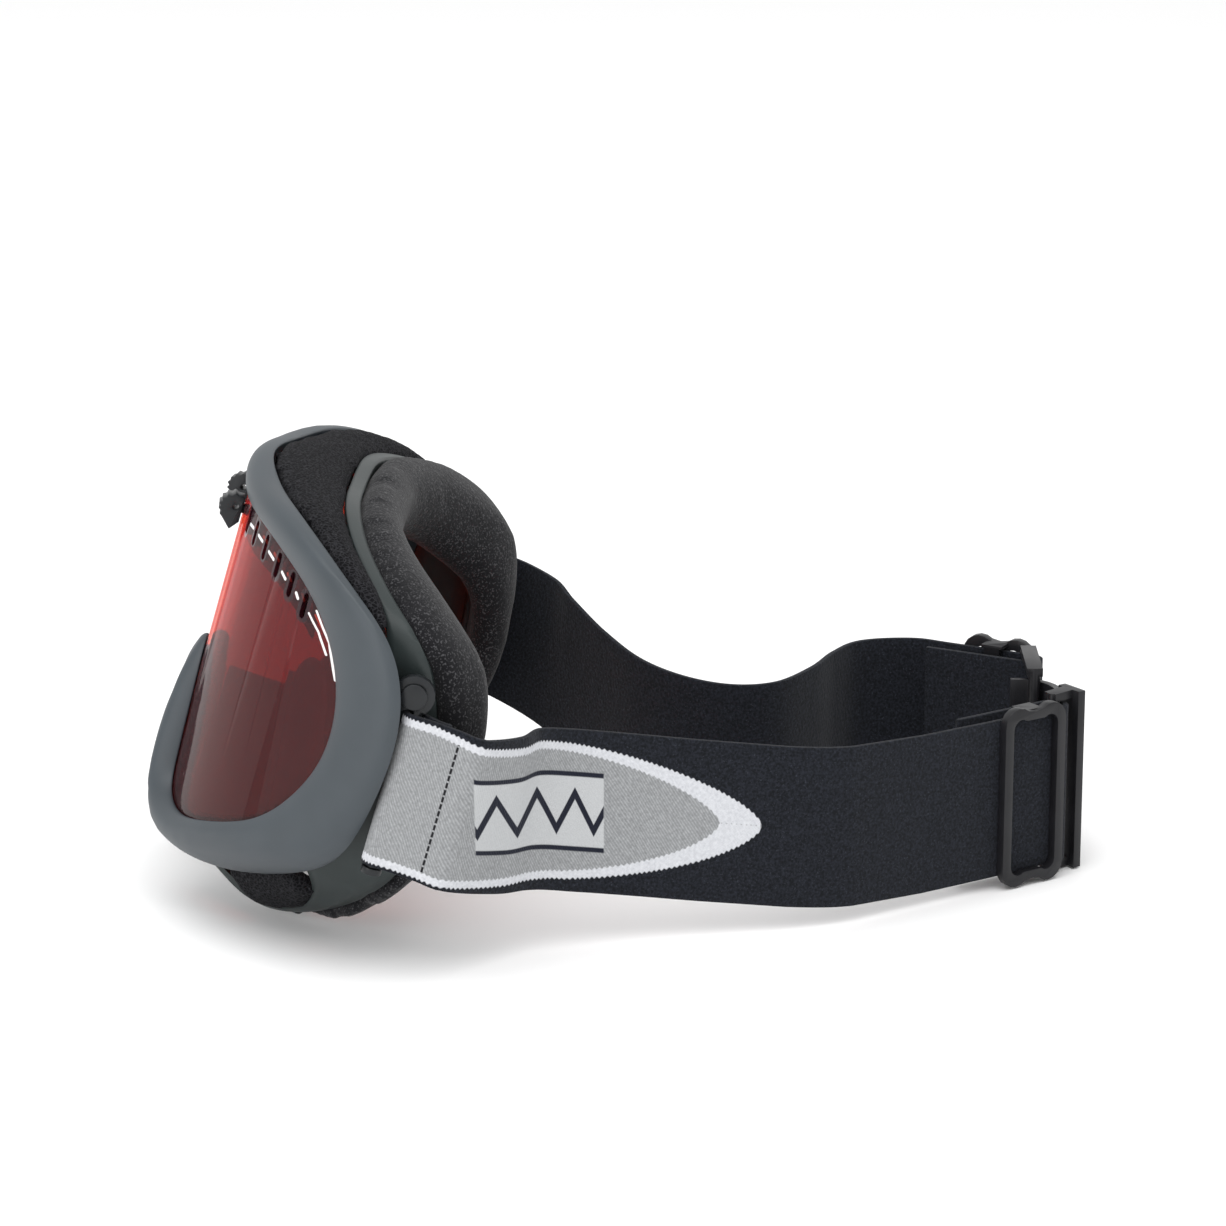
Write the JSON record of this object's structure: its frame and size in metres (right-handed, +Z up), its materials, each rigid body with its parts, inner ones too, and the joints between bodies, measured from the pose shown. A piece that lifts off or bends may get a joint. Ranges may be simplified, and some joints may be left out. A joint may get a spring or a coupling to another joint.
{
  "type": "ski goggles",
  "caption": "Ski goggles with a curved rose double lens in a grey frame, sliding lens vents, fleece-faced foam and an adjustable elastic strap with a rear hook clip, lying strap back.",
  "frame": {"origin": "middle of the bounding box, at the level of the surface it rests on", "axes": "+Y runs back along the head strap, away from the lens; +Z is up; +X is the wearer's left"},
  "size_m": [0.1732, 0.241, 0.1133],
  "materials": {
    "frame_plastic": "satin moulded plastic",
    "rose_lens": "tinted clear polycarbonate",
    "clear_lens": "clear polycarbonate",
    "charcoal_foam": "open-cell foam",
    "charcoal_fleece": "brushed fleece",
    "elastic_webbing": "knitted elastic",
    "fitting_plastic": "satin acetal"
  },
  "bodies": {
    "mask": {"front_rim": "frame_plastic", "outer_lens": "rose_lens", "inner_lens": "clear_lens", "lens_gasket": "charcoal_foam", "frame_body": "frame_plastic", "top_vent_foam": "charcoal_foam", "bottom_vent_foam_left": "charcoal_foam", "bottom_vent_foam_right": "charcoal_foam", "face_foam": "charcoal_foam", "face_fleece": "charcoal_fleece", "pivot_pin_left": "fitting_plastic", "pivot_pin_right": "fitting_plastic"},
    "strap_loop": {"outrigger_left": "fitting_plastic", "outrigger_right": "fitting_plastic", "strap_left": "elastic_webbing", "strap_right": "elastic_webbing", "clip_catch": "fitting_plastic"},
    "slider_left": {"slider_left": "fitting_plastic"},
    "slider_right": {"slider_right": "fitting_plastic"},
    "clip_hook": {"clip_hook": "fitting_plastic"},
    "vent_left": {"vent_lever_left": "fitting_plastic", "vent_shutter_left": "fitting_plastic"},
    "vent_right": {"vent_lever_right": "fitting_plastic", "vent_shutter_right": "fitting_plastic"}
  },
  "joints": [
    {"name": "strap_tilt", "type": "hinge", "parent": "mask", "child": "strap_loop", "pos_m": [0, -0.04617, 0.07194], "axis": [1, 0, 0], "range_deg": [-0.4, 18]},
    {"name": "slider_left_slide", "type": "slide", "parent": "strap_loop", "child": "slider_left", "axis": [0.6, -0.8, 0], "range_m": [0, 0.014]},
    {"name": "slider_right_slide", "type": "slide", "parent": "strap_loop", "child": "slider_right", "axis": [-0.4493, -0.8934, 0], "range_m": [0, 0.014]},
    {"name": "clip_hook_pivot", "type": "hinge", "parent": "strap_loop", "child": "clip_hook", "pos_m": [-0.00786, 0.11218, 0.024], "axis": [0, 0, -1], "range_deg": [0, 45]},
    {"name": "vent_left_slide", "type": "hinge", "parent": "mask", "child": "vent_left", "pos_m": [0, -0.00676, 0.07423], "axis": [0, -0.279, -0.9603], "range_deg": [0, 2.6]},
    {"name": "vent_right_slide", "type": "hinge", "parent": "mask", "child": "vent_right", "pos_m": [0, -0.00676, 0.07423], "axis": [0, 0.279, 0.9603], "range_deg": [0, 2.6]}
  ]
}
